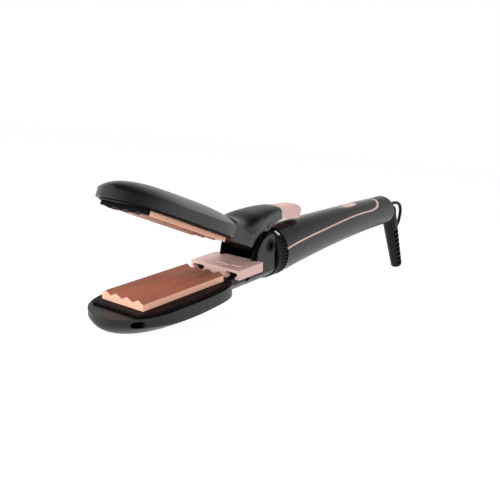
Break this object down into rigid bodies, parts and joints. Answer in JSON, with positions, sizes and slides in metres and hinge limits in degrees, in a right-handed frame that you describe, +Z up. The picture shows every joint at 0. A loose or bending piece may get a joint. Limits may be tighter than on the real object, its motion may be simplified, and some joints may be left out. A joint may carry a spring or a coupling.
{
  "type": "hair crimper",
  "caption": "Hand held hair crimper with ridged plates, a hinged upper jaw worked by a thumb lever, a round tapered handle with a lock ring and button, and a swivel cord guard.",
  "frame": {"origin": "centre of the bounding box's footprint, on the surface that the tool lies on", "axes": "+X runs back from the jaws to the cord guard, +Z is up, and +Y is the left side when the jaws point away from the user"},
  "size_m": [0.3824, 0.0552, 0.0859],
  "materials": {
    "housing_black": "satin charcoal plastic",
    "frame_black": "satin black heat resistant plastic",
    "lever_grey": "satin dark grey plastic",
    "panel_gloss": "glossy black plastic",
    "shell_grey": "satin mid grey plastic",
    "rose": "satin dusty rose plastic",
    "copper_plate": "copper coloured ceramic coat on aluminium",
    "heater": "white ceramic heater pad",
    "pin_steel": "bare steel",
    "spring_steel": "bare spring steel",
    "guard_black": "matt black flexible plastic",
    "mark_white": "white",
    "light": "milky lens",
    "board_green": "green circuit board",
    "switch_body": "black"
  },
  "bodies": {
    "grip": {"handle_shell": "shell_grey", "handle_top_panel": "panel_gloss", "handle_trim": "rose", "led_lens": "light", "control_board": "board_green", "tact_switch": "switch_body", "board_screws": "pin_steel", "head_socket": "frame_black", "lower_jaw_housing": "housing_black", "hinge_bracket": "frame_black", "pivot_bushes": "frame_black", "pivot_pin": "pin_steel", "torsion_spring": "spring_steel", "lower_plate_frame": "frame_black", "lower_crimp_plate": "copper_plate", "lower_heater": "heater", "lower_plate_clips": "frame_black", "plate_end_block": "rose"},
    "upper_jaw": {"upper_jaw_shell": "lever_grey", "lever_grip_panel": "housing_black", "lever_tip": "rose", "upper_arm_frame": "frame_black", "upper_plate_frame": "frame_black", "upper_plate_end_cap": "frame_black", "upper_crimp_plate": "copper_plate", "upper_heater": "heater"},
    "lock_ring": {"lock_ring": "frame_black", "ring_index_mark": "mark_white"},
    "power_button": {"power_button": "rose"},
    "cord_swivel": {"cord_swivel": "guard_black", "cord_guard": "guard_black", "hanging_loop": "guard_black"}
  },
  "joints": [
    {"name": "jaw_hinge", "type": "hinge", "parent": "grip", "child": "upper_jaw", "pos_m": [-0.05619, 0, 0.04303], "axis": [0, 1, 0], "range_deg": [-23.5, 0]},
    {"name": "ring_turn", "type": "hinge", "parent": "grip", "child": "lock_ring", "pos_m": [-0.05826, 0, 0.03257], "axis": [0.9917, 0, 0.1288], "range_deg": [0, 45]},
    {"name": "button_press", "type": "slide", "parent": "grip", "child": "power_button", "axis": [0.1288, 0, -0.9917], "range_m": [0, 0.0008], "stiffness_N_per_m": 2500},
    {"name": "cord_turn", "type": "hinge", "parent": "grip", "child": "cord_swivel", "pos_m": [-0.05826, 0, 0.03257], "axis": [0.9917, 0, 0.1288], "continuous": true}
  ]
}
